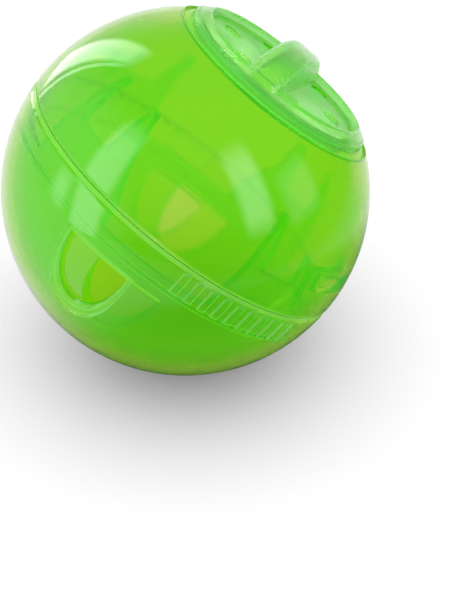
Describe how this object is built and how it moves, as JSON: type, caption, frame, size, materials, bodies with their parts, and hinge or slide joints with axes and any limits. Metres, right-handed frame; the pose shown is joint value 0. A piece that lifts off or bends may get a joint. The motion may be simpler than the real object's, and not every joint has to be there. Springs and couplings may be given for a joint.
{
  "type": "treat dispensing ball",
  "caption": "Hollow treat dispensing ball with a turning shutter cup that opens or closes its food windows, and a round filler cap with a finger bar.",
  "frame": {"origin": "centre of the ball", "axes": "+Z is the pole axis, out through the filler cap; -Y is the side that the picture shows, with one food window there and the other on the +Y side; +X is to the viewer's right"},
  "size_m": [0.076, 0.076, 0.0766],
  "materials": {
    "shell": "translucent green, polished",
    "cup": "translucent green, polished",
    "cap": "translucent green, fine matt texture on the recessed floor"
  },
  "bodies": {
    "lower_half": {"lower_shell": "shell"},
    "upper_half": {"shutter_cup": "cup", "upper_shell": "shell"},
    "cap": {"filler_cap": "cap"}
  },
  "joints": [
    {"name": "shutter_turn", "type": "hinge", "parent": "lower_half", "child": "upper_half", "pos_m": [0, 0, 0], "axis": [0, 0, 1], "range_deg": [-12.3, 13.7]},
    {"name": "cap_lift", "type": "slide", "parent": "upper_half", "child": "cap", "axis": [0, 0, 1], "range_m": [0, 0.05]}
  ]
}
